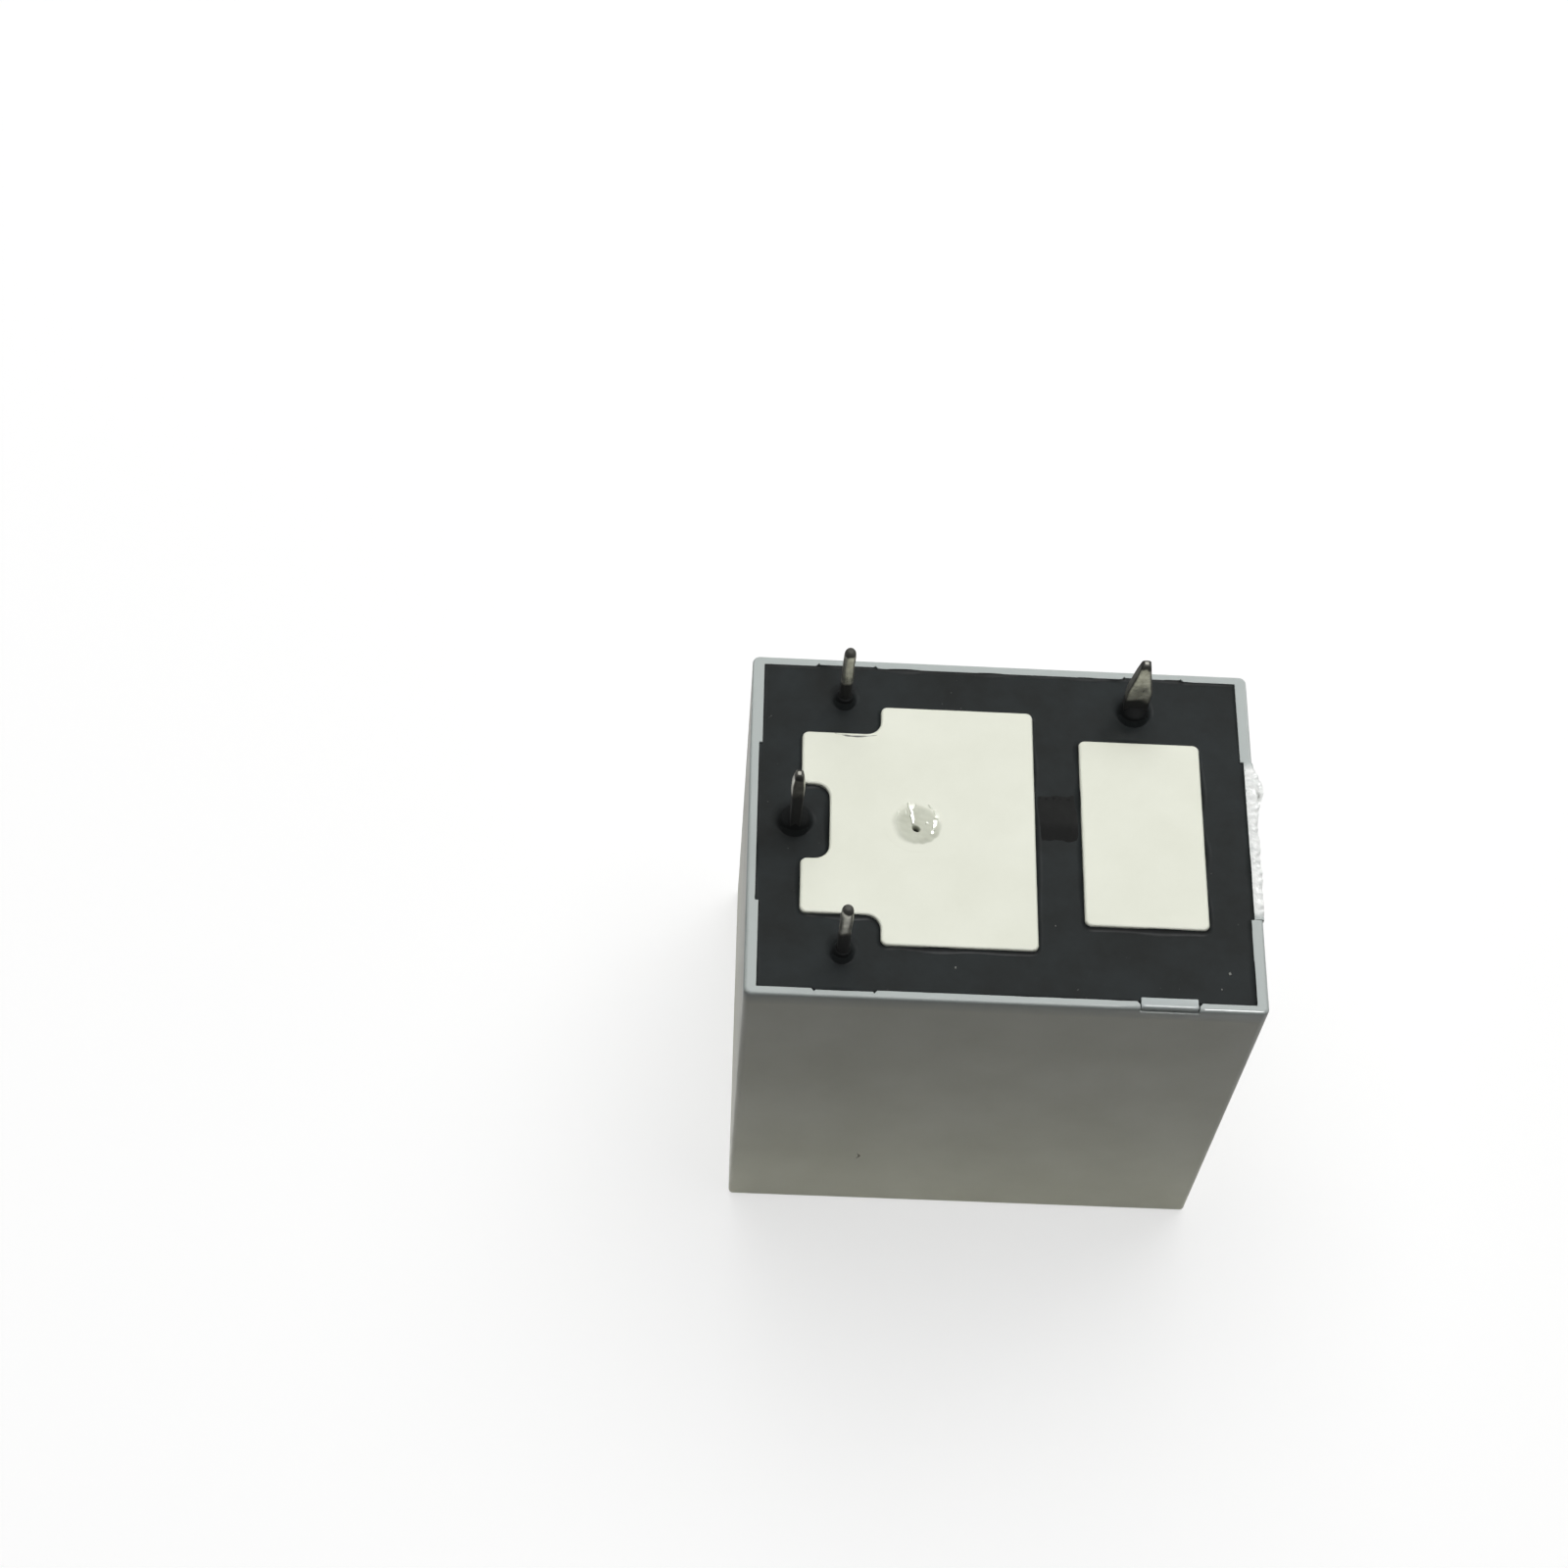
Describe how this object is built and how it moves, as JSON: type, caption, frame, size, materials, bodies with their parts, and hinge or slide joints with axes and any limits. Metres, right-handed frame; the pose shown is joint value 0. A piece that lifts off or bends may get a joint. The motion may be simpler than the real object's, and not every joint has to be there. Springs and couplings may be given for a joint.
{
  "type": "pcb power relay",
  "caption": "Sealed box-shaped power relay for a printed circuit board, shown pins up: pale plastic cover, dark resin seal, raised seats, and an armature that closes a normally open contact.",
  "frame": {"origin": "centre of the closed face of the cover, on the surface that the relay stands on", "axes": "+Z from the closed face towards the pins, +X along the body towards the contact end, +Y across the body towards the long side with the contact pin"},
  "size_m": [0.021, 0.016, 0.0239],
  "materials": {
    "cover_plastic": "satin moulded",
    "base_plastic": "satin moulded",
    "black_resin": "poured",
    "clear_resin": "glossy drop",
    "tinned_wire": "tinned",
    "tinned_strip": "tinned",
    "silver_alloy": "satin",
    "bobbin_plastic": "satin moulded",
    "copper_wire": "enamelled",
    "soft_iron": "zinc plated",
    "spring_alloy": "rolled"
  },
  "bodies": {
    "relay_body": {"cover": "cover_plastic", "base": "base_plastic", "sealing_resin": "black_resin", "vent_seal": "clear_resin", "coil_pin_a": "tinned_wire", "coil_pin_b": "tinned_wire", "common_terminal": "tinned_strip", "contact_terminal": "tinned_strip", "fixed_contact": "silver_alloy", "coil_bobbin": "bobbin_plastic", "coil_winding": "copper_wire", "iron_core": "soft_iron", "yoke": "soft_iron"},
    "armature_body": {"armature": "soft_iron", "contact_spring": "spring_alloy", "moving_contact": "silver_alloy"}
  },
  "joints": [
    {"name": "armature_hinge", "type": "hinge", "parent": "relay_body", "child": "armature_body", "pos_m": [-0.00815, 0, 0.00511], "axis": [0, -1, 0], "range_deg": [0, 4.08], "stiffness_Nm_per_rad": 0.004, "springref_deg": -17.19, "deforming": ["contact_spring"]}
  ]
}
